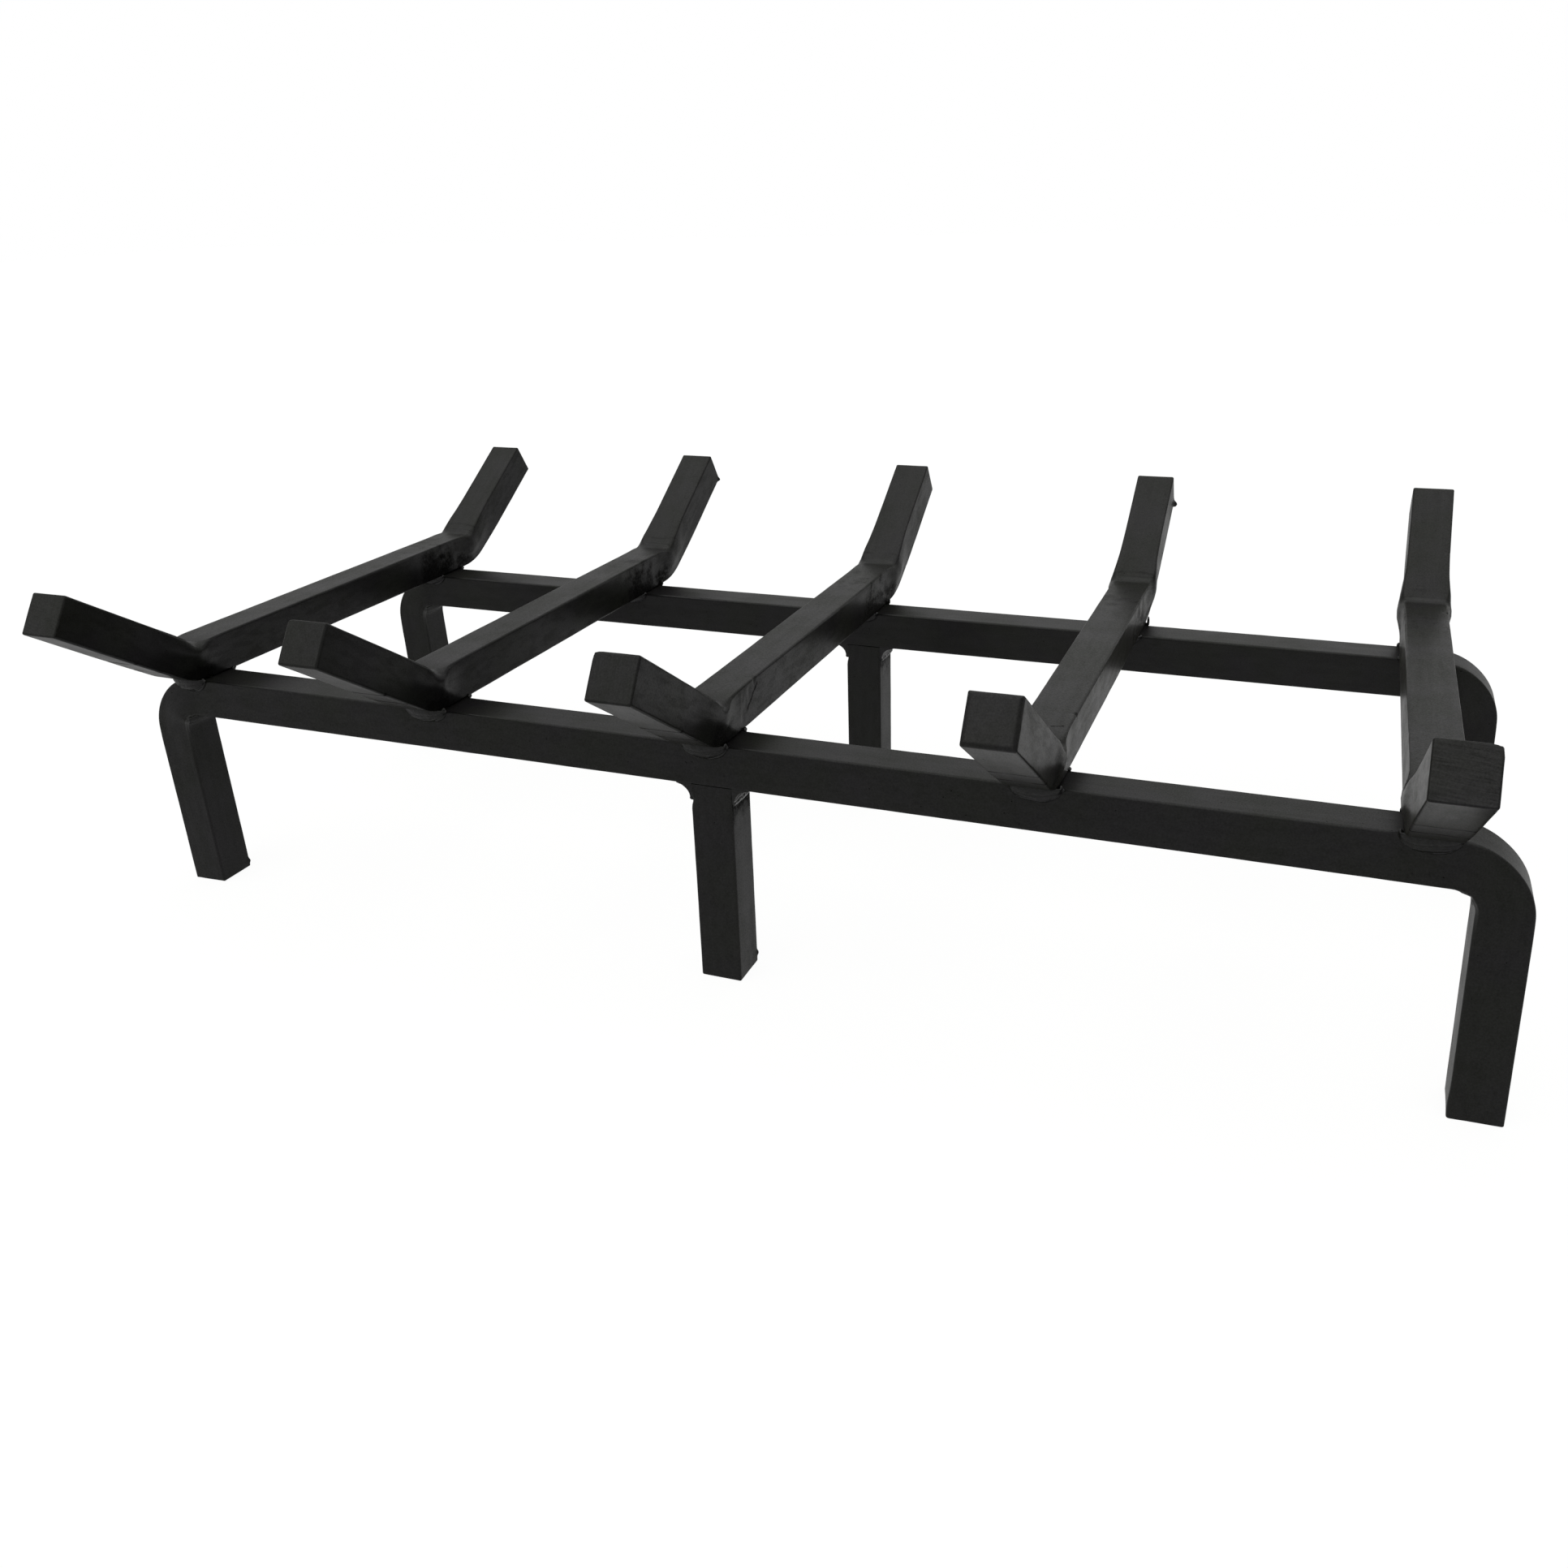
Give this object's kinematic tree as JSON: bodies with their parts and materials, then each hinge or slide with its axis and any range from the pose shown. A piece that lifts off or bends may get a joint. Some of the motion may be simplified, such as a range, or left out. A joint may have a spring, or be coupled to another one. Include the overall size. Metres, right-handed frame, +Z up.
{
  "type": "log grate",
  "caption": "Welded square-bar fireplace grate: bent-up cradle bars lie across two rails whose ends bend down into legs, with a straight leg under each rail.",
  "frame": {"origin": "on the hearth, under the middle of the whole grate", "axes": "+X to the right along the rails, +Y to the back of the hearth, +Z up"},
  "size_m": [0.6122, 0.3722, 0.1714],
  "materials": {
    "bar_paint": "satin black heat-resistant paint on hot-rolled bar",
    "weld_paint": "satin black heat-resistant paint on rippled weld metal"
  },
  "bodies": {
    "root": {"front_rail": "bar_paint", "rear_rail": "bar_paint", "front_centre_leg": "bar_paint", "rear_centre_leg": "bar_paint", "log_bar_1": "bar_paint", "log_bar_2": "bar_paint", "log_bar_3": "bar_paint", "log_bar_4": "bar_paint", "log_bar_5": "bar_paint", "bar_1_front_rail_front_weld": "weld_paint", "bar_1_front_rail_back_weld": "weld_paint", "bar_1_rear_rail_front_weld": "weld_paint", "bar_1_rear_rail_back_weld": "weld_paint", "bar_2_front_rail_front_weld": "weld_paint", "bar_2_front_rail_back_weld": "weld_paint", "bar_2_rear_rail_front_weld": "weld_paint", "bar_2_rear_rail_back_weld": "weld_paint", "bar_3_front_rail_front_weld": "weld_paint", "bar_3_front_rail_back_weld": "weld_paint", "bar_3_rear_rail_front_weld": "weld_paint", "bar_3_rear_rail_back_weld": "weld_paint", "bar_4_front_rail_front_weld": "weld_paint", "bar_4_front_rail_back_weld": "weld_paint", "bar_4_rear_rail_front_weld": "weld_paint", "bar_4_rear_rail_back_weld": "weld_paint", "bar_5_front_rail_front_weld": "weld_paint", "bar_5_front_rail_back_weld": "weld_paint", "bar_5_rear_rail_front_weld": "weld_paint", "bar_5_rear_rail_back_weld": "weld_paint", "front_centre_leg_left_weld": "weld_paint", "front_centre_leg_right_weld": "weld_paint", "rear_centre_leg_left_weld": "weld_paint", "rear_centre_leg_right_weld": "weld_paint"}
  },
  "joints": []
}
